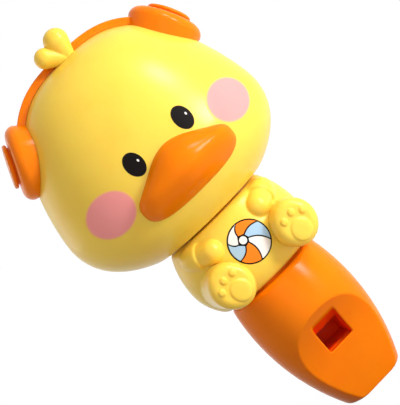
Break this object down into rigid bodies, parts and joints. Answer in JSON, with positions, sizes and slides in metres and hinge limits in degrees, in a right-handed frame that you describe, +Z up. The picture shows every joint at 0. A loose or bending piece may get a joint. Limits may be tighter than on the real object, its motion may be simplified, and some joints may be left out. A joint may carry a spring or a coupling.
{
  "type": "toy whistle",
  "caption": "Duckling-shaped pealess toy whistle: scooped mouthpiece with a sound window below a sitting duckling whose head with headphones turns on the neck.",
  "frame": {"origin": "middle of the flat mouth end, on the axis of the whistle barrel", "axes": "+Z up the duckling from the mouth end to the tuft, -Y the way its face looks, +X its left"},
  "size_m": [0.0524, 0.0456, 0.0995],
  "materials": {
    "yellow_plastic": "satin moulded plastic",
    "orange_plastic": "satin moulded plastic",
    "black_ink": "pad-printed ink",
    "white_ink": "pad-printed ink",
    "pink_ink": "pad-printed ink",
    "blue_ink": "pad-printed ink",
    "orange_ink": "pad-printed ink"
  },
  "bodies": {
    "whistle_body": {"whistle_barrel": "orange_plastic", "windway_block": "orange_plastic", "whistle_cap": "orange_plastic", "body_front_shell": "yellow_plastic", "body_rear_shell": "yellow_plastic", "left_foot": "yellow_plastic", "right_foot": "yellow_plastic", "neck_post": "orange_plastic"},
    "head": {"head_front_shell": "yellow_plastic", "head_rear_shell": "yellow_plastic", "bill": "orange_plastic", "hair_tuft": "yellow_plastic", "headband": "orange_plastic", "left_ear_cup": "orange_plastic", "right_ear_cup": "orange_plastic", "left_ear_cap": "orange_plastic", "right_ear_cap": "orange_plastic"}
  },
  "joints": [
    {"name": "head_swivel", "type": "hinge", "parent": "whistle_body", "child": "head", "pos_m": [0, 0, 0.05], "axis": [0, 0, 1], "continuous": true}
  ]
}
